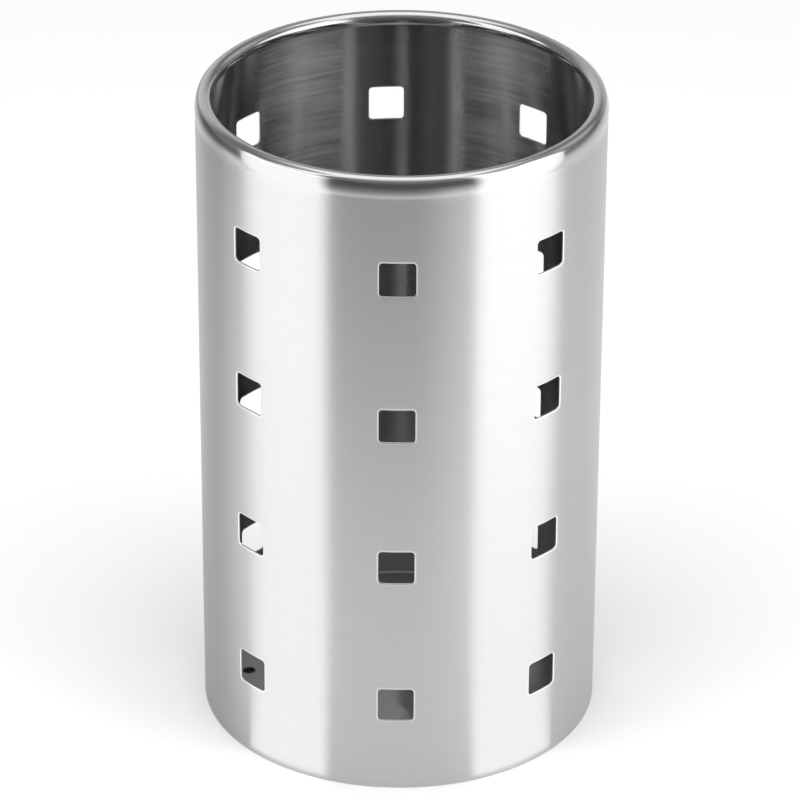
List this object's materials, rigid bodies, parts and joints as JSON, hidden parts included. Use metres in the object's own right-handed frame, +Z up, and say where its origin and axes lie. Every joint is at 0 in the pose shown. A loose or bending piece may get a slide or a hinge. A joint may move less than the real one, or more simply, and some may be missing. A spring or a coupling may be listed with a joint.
{
  "type": "utensil holder",
  "caption": "Free-standing round kitchen utensil holder of sheet steel, with square windows in the wall, a curled rim and a drained base.",
  "frame": {"origin": "centre of the foot circle, on the surface that the holder stands on", "axes": "+Z up along the tube's axis; -Y is the front, where a column of windows lies, and the welded seam is towards -X"},
  "size_m": [0.1196, 0.1196, 0.2],
  "materials": {
    "brushed_wall": "brushed round the tube, with the rim polished",
    "seam": "dressed flush and brushed",
    "mill_steel": "cold rolled, dull",
    "weld": "bare weld metal"
  },
  "bodies": {
    "root": {"wall": "brushed_wall", "seam_weld": "seam", "base": "mill_steel", "tack_welds": "weld"}
  },
  "joints": []
}
